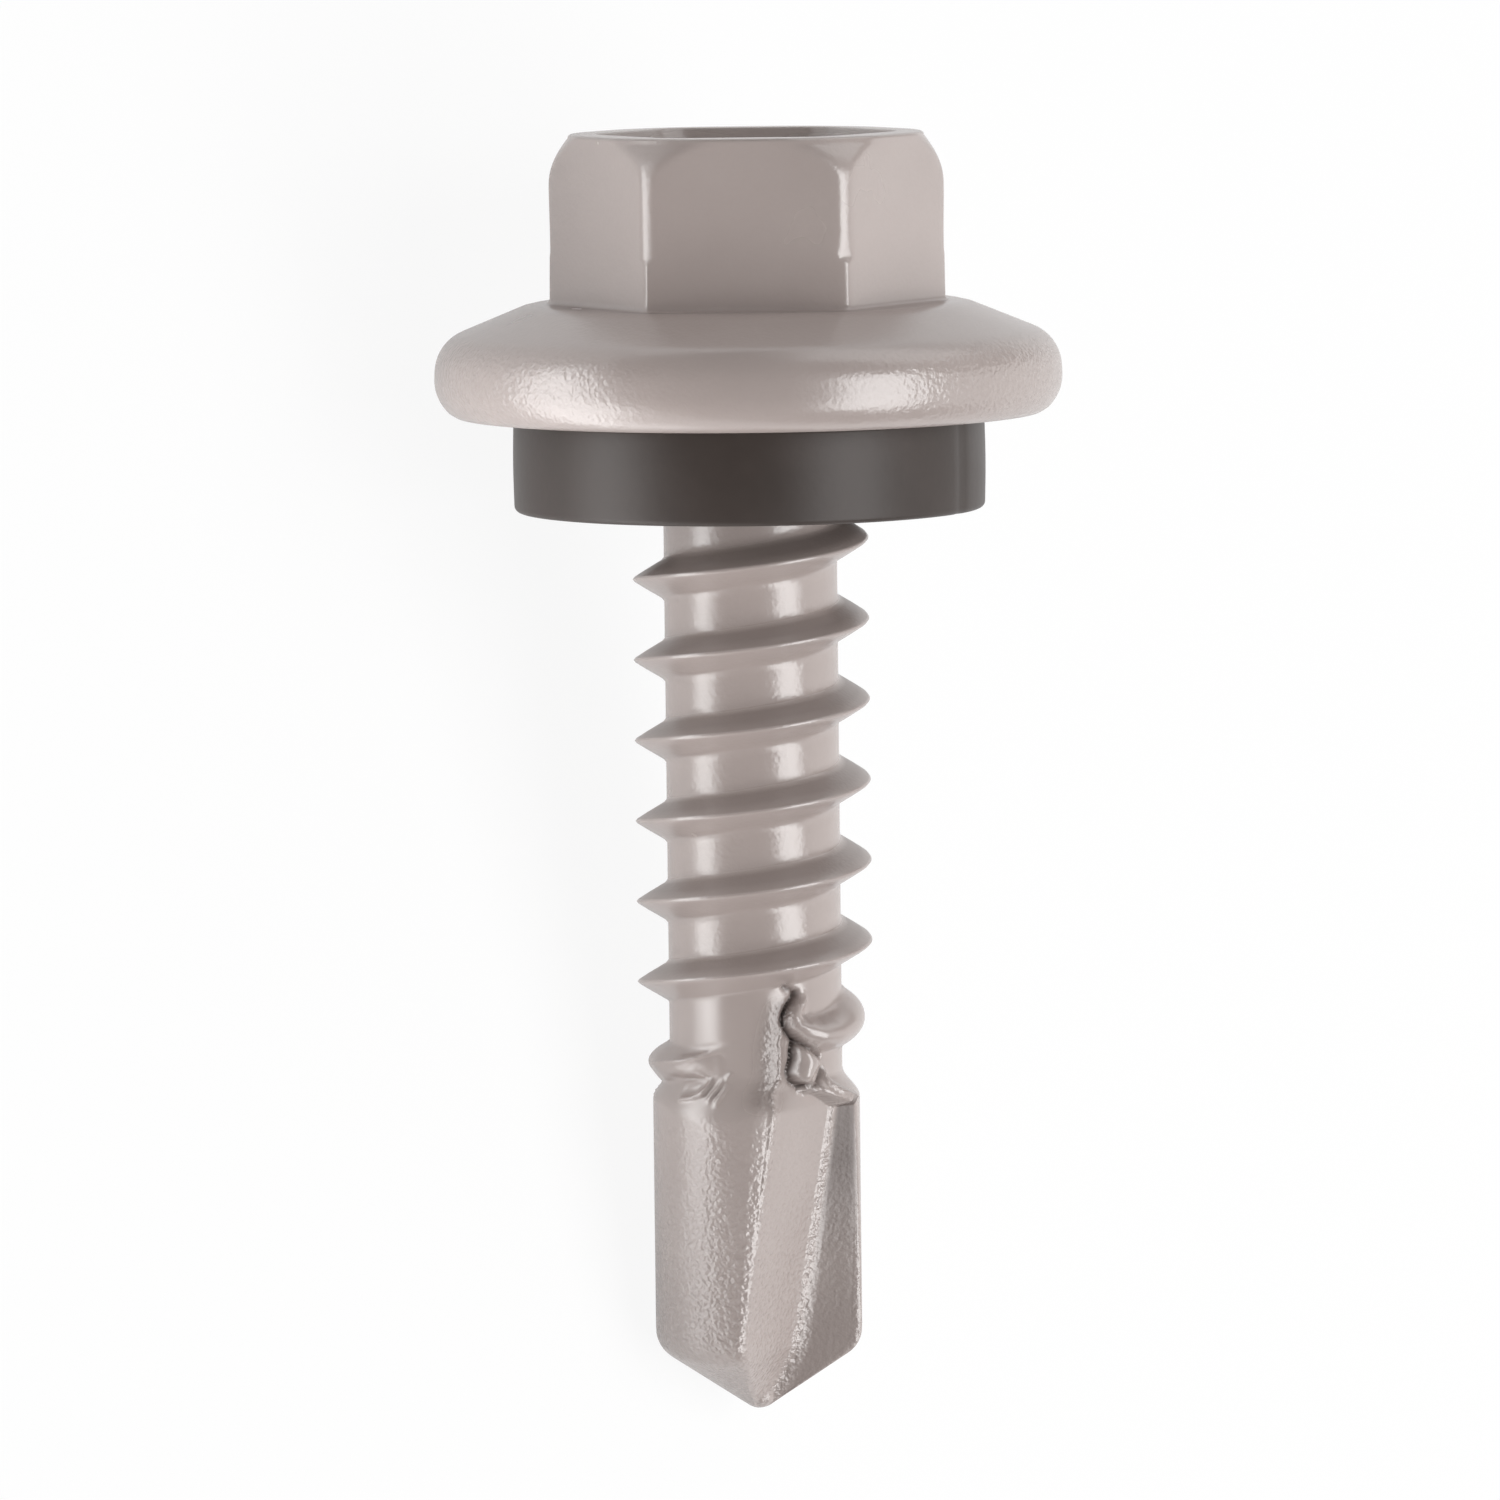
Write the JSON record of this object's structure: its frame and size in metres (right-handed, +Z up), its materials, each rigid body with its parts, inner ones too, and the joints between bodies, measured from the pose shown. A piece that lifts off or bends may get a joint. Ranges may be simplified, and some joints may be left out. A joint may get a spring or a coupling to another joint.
{
  "type": "hex washer head self-drilling screw",
  "caption": "Self-drilling screw with a recessed hex on a wide flange, a coarse right-hand thread, a fluted drill point and a rubber sealing washer.",
  "frame": {"origin": "on the floor, under the middle of the screw as it lies at rest", "axes": "+Y from the drill point to the head, level; +Z up from the floor. The screw's own axis lies in the YZ plane and rises 14 degrees from the point to the head."},
  "size_m": [0.0144, 0.0298, 0.0142],
  "materials": {
    "painted_steel": "satin warm grey paint with a fine orange-peel texture",
    "rubber": "plain dark rubber, slightly shiny"
  },
  "bodies": {
    "root": {"screw": "painted_steel", "sealing_washer": "rubber"}
  },
  "joints": []
}
